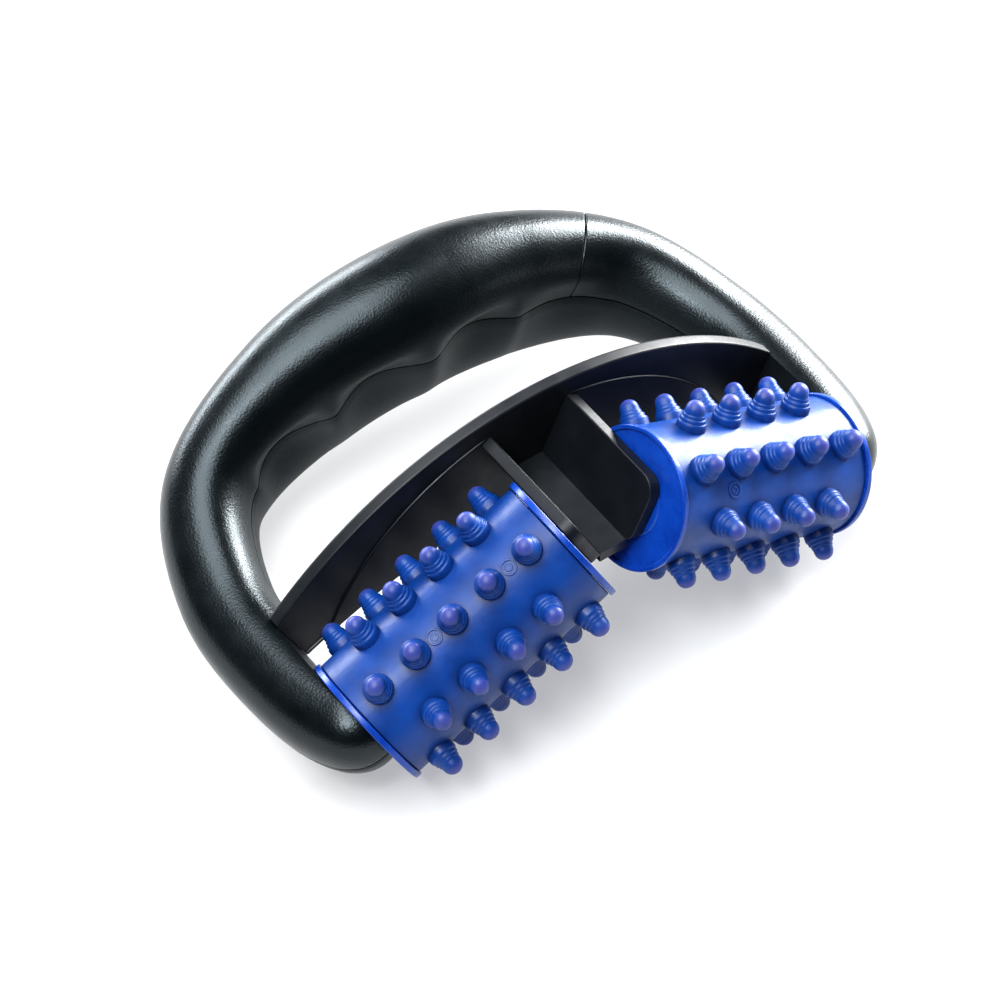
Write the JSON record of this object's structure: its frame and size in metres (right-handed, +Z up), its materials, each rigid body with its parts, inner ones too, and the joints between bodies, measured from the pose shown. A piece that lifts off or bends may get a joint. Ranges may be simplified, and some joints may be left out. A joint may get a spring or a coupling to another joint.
{
  "type": "hand-held massage roller",
  "caption": "Closed D-loop hand grip with finger hollows carrying studded rubber rollers that spin freely on steel axles set in a shallow arch.",
  "frame": {"origin": "under the middle of the whole part's box, on the plane that the roller studs stand on", "axes": "+X to the right along the two rollers, +Y from the rollers towards the grip, +Z up"},
  "size_m": [0.1632, 0.1152, 0.0576],
  "materials": {
    "handle_plastic": "fine leather grain, satin",
    "bridge_plastic": "smooth satin",
    "roller_rubber": "soft moulded PVC, semi-gloss",
    "cap_plastic": "gloss",
    "core_plastic": "as moulded",
    "axle_steel": "drawn bar",
    "washer_nylon": "black nylon, satin",
    "screw_steel": "zinc plated"
  },
  "bodies": {
    "handle": {"upper_handle_shell": "handle_plastic", "upper_end_cover": "handle_plastic", "lower_handle_shell": "handle_plastic", "roller_bridge": "bridge_plastic", "left_axle": "axle_steel", "right_axle": "axle_steel", "left_inner_washer": "washer_nylon", "left_outer_washer": "washer_nylon", "right_inner_washer": "washer_nylon", "right_outer_washer": "washer_nylon", "shell_screw_1": "screw_steel", "shell_screw_2": "screw_steel", "shell_screw_3": "screw_steel", "shell_screw_4": "screw_steel", "shell_screw_5": "screw_steel", "shell_screw_6": "screw_steel"},
    "left_roller": {"left_roller_sleeve": "roller_rubber", "left_roller_core": "core_plastic", "left_inner_end_cap": "cap_plastic", "left_outer_end_cap": "cap_plastic"},
    "right_roller": {"right_roller_sleeve": "roller_rubber", "right_roller_core": "core_plastic", "right_inner_end_cap": "cap_plastic", "right_outer_end_cap": "cap_plastic"}
  },
  "joints": [
    {"name": "left_roller_spin", "type": "hinge", "parent": "handle", "child": "left_roller", "pos_m": [-0.0362, -0.03597, 0.02881], "axis": [0.9026, 0, 0.4305], "continuous": true},
    {"name": "right_roller_spin", "type": "hinge", "parent": "handle", "child": "right_roller", "pos_m": [0.0362, -0.03597, 0.02881], "axis": [0.9026, 0, -0.4305], "continuous": true}
  ]
}
